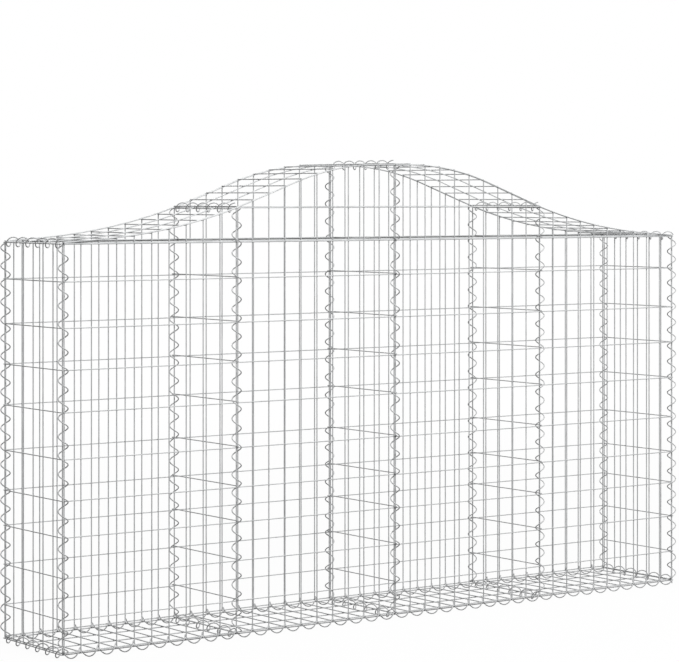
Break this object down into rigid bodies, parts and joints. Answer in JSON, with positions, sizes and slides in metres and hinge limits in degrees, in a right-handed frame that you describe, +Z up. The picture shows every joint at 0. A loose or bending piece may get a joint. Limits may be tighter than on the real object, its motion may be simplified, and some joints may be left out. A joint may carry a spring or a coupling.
{
  "type": "gabion wall",
  "caption": "Long, narrow gabion wall basket of galvanised welded wire mesh with an arched lid, divided into bays and laced together by spiral binders.",
  "frame": {"origin": "on the ground, under the middle of the basket", "axes": "+X along the wall to its right end, +Y from the front to the back, +Z up"},
  "size_m": [2.0198, 0.3286, 1.2167],
  "materials": {
    "mesh_wire": "galvanised, dull",
    "binder_wire": "galvanised, dull",
    "tie_wire": "galvanised, dull"
  },
  "bodies": {
    "root": {"front_panel_1": "mesh_wire", "front_panel_2": "mesh_wire", "front_panel_3": "mesh_wire", "front_panel_4": "mesh_wire", "front_arch_panel_1": "mesh_wire", "front_arch_panel_2": "mesh_wire", "front_arch_panel_3": "mesh_wire", "front_arch_panel_4": "mesh_wire", "back_panel_1": "mesh_wire", "back_panel_2": "mesh_wire", "back_panel_3": "mesh_wire", "back_panel_4": "mesh_wire", "back_arch_panel_1": "mesh_wire", "back_arch_panel_2": "mesh_wire", "back_arch_panel_3": "mesh_wire", "back_arch_panel_4": "mesh_wire", "left_end_panel": "mesh_wire", "right_end_panel": "mesh_wire", "base_panel_1": "mesh_wire", "base_panel_2": "mesh_wire", "base_panel_3": "mesh_wire", "base_panel_4": "mesh_wire", "lid_panel_1": "mesh_wire", "lid_panel_2": "mesh_wire", "lid_panel_3": "mesh_wire", "lid_panel_4": "mesh_wire", "front_coil_1": "binder_wire", "front_coil_2": "binder_wire", "front_coil_3": "binder_wire", "front_coil_4": "binder_wire", "front_coil_5": "binder_wire", "back_coil_1": "binder_wire", "back_coil_2": "binder_wire", "back_coil_3": "binder_wire", "back_coil_4": "binder_wire", "back_coil_5": "binder_wire", "front_base_coil": "binder_wire", "back_base_coil": "binder_wire", "base_seam_coils": "binder_wire", "lid_seam_coils": "binder_wire", "spacer_ties_1": "tie_wire", "spacer_ties_2": "tie_wire", "spacer_ties_3": "tie_wire"}
  },
  "joints": []
}
